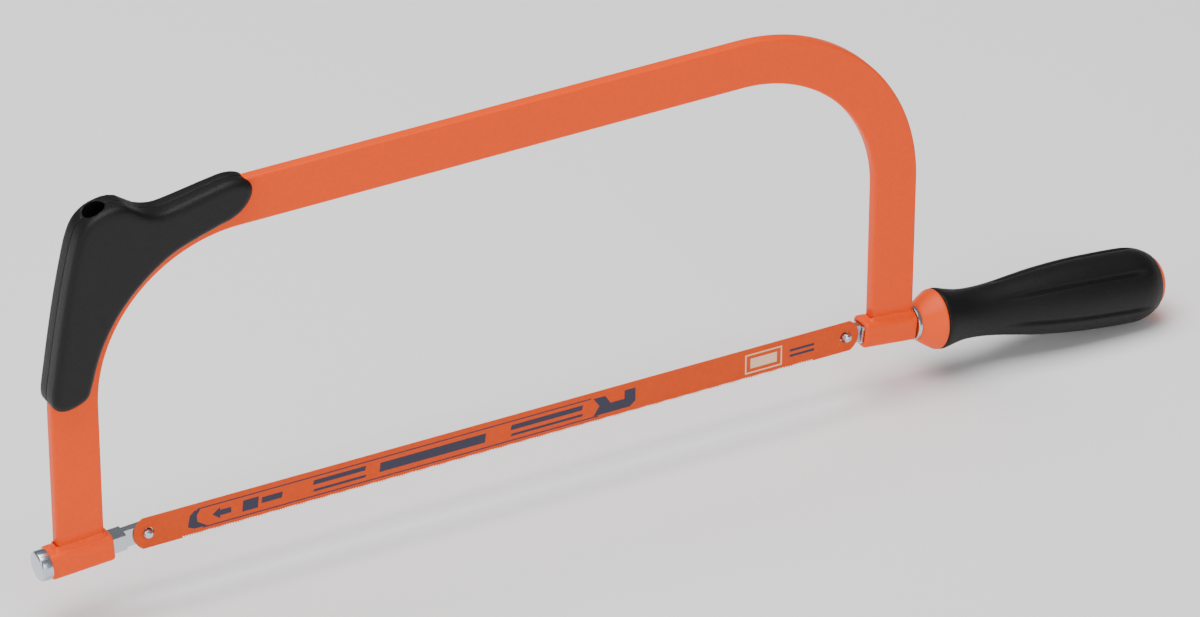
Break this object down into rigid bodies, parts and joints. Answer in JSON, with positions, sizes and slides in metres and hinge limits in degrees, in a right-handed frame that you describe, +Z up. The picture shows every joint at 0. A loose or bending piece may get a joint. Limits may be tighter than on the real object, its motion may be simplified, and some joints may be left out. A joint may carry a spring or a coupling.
{
  "type": "hacksaw",
  "caption": "Hacksaw with a bent flat-bar bow, a black front grip, a screw-drawn handle and a painted blade held on inclined pins",
  "frame": {"origin": "middle of the blade, on the line through its two pin holes and on the bow's middle plane", "axes": "+X along the blade towards the handle, +Y across the bow to the left of someone holding the handle, +Z up towards the rail"},
  "size_m": [0.4919, 0.0308, 0.1711],
  "materials": {
    "painted_bow": "satin",
    "zinc_steel": "satin",
    "blade_paint": "gloss",
    "grip_plastic": "matte",
    "core_plastic": "satin",
    "grip_rubber": "matte",
    "nut_steel": "satin"
  },
  "bodies": {
    "bow": {"frame_bar": "painted_bow", "front_socket": "painted_bow", "rear_socket": "painted_bow", "front_weld": "painted_bow", "rear_weld": "painted_bow", "front_grip_left": "grip_plastic", "front_grip_right": "grip_plastic", "grip_screw": "zinc_steel"},
    "front_holder": {"front_blade_holder": "zinc_steel", "front_blade_pin": "zinc_steel"},
    "blade": {"blade_back": "blade_paint", "blade_tooth_strip": "blade_paint"},
    "rear_holder": {"rear_blade_holder": "zinc_steel", "tension_stud": "zinc_steel", "rear_blade_pin": "zinc_steel"},
    "handle": {"handle_core": "core_plastic", "handle_grip": "grip_rubber", "handle_nut": "nut_steel", "thrust_washer": "zinc_steel", "end_plug": "core_plastic"}
  },
  "joints": [
    {"name": "handle_turn", "type": "hinge", "parent": "bow", "child": "handle", "pos_m": [0.15, 0, 0], "axis": [0.9945, 0, -0.1045], "range_deg": [0, 2160]},
    {"name": "rear_holder_slide", "type": "slide", "parent": "bow", "child": "rear_holder", "axis": [-0.9945, 0, 0.1045], "range_m": [0, 0.006]},
    {"name": "front_holder_slide", "type": "slide", "parent": "bow", "child": "front_holder", "axis": [-0.998, 0, -0.0628], "range_m": [0, 0.00598]},
    {"name": "blade_swing", "type": "hinge", "parent": "front_holder", "child": "blade", "pos_m": [-0.15, 0, 0], "axis": [0, -1, 0], "range_deg": [0, 0.192]}
  ],
  "couplings": [
    {"joint": "handle_turn", "follows": "rear_holder_slide", "rad_per_m": 6283},
    {"joint": "front_holder_slide", "follows": "rear_holder_slide", "ratio": 0.99649},
    {"joint": "blade_swing", "follows": "rear_holder_slide", "rad_per_m": 0.55699}
  ]
}
